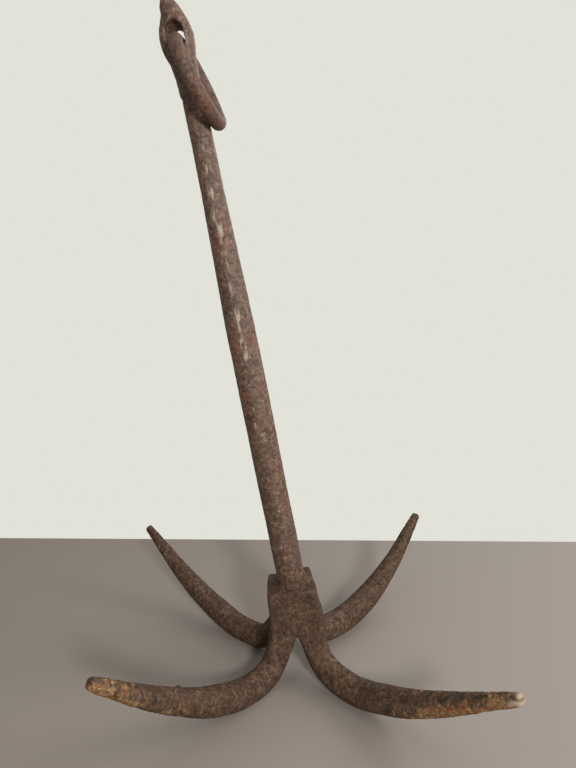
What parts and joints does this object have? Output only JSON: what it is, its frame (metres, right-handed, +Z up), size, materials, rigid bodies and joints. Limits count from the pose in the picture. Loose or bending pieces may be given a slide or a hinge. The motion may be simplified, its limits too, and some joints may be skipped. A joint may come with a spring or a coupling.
{
  "type": "grapnel anchor",
  "caption": "Old hand-forged grapnel anchor with round shank, curved arms and a swinging ring in its eye, rusted all over, with a pale flaky crust on the tips.",
  "frame": {"origin": "middle of the underside of the object's box, on the surface that the arm bellies stand on", "axes": "+Z up, the height of the standing anchor; -X the side that the shank leans to; -Y the front"},
  "size_m": [0.4066, 0.4088, 0.7183],
  "materials": {
    "shank_rust": "mottled brown rust, pitted, with worn grey and reddish patches",
    "arm_rust": "dark brown pitted rust, with a pale tan and ochre crust on the outer ends",
    "ring_rust": "reddish brown rust, worn"
  },
  "bodies": {
    "anchor": {"shank": "shank_rust", "front_left_arm": "arm_rust", "front_right_arm": "arm_rust", "back_right_arm": "arm_rust", "back_left_arm": "arm_rust"},
    "ring": {"ring": "ring_rust"}
  },
  "joints": [
    {"name": "ring_swing", "type": "hinge", "parent": "anchor", "child": "ring", "pos_m": [-0.11308, 0.00492, 0.67588], "axis": [-0.0855, -0.9962, -0.0166], "range_deg": [0, 332]}
  ]
}
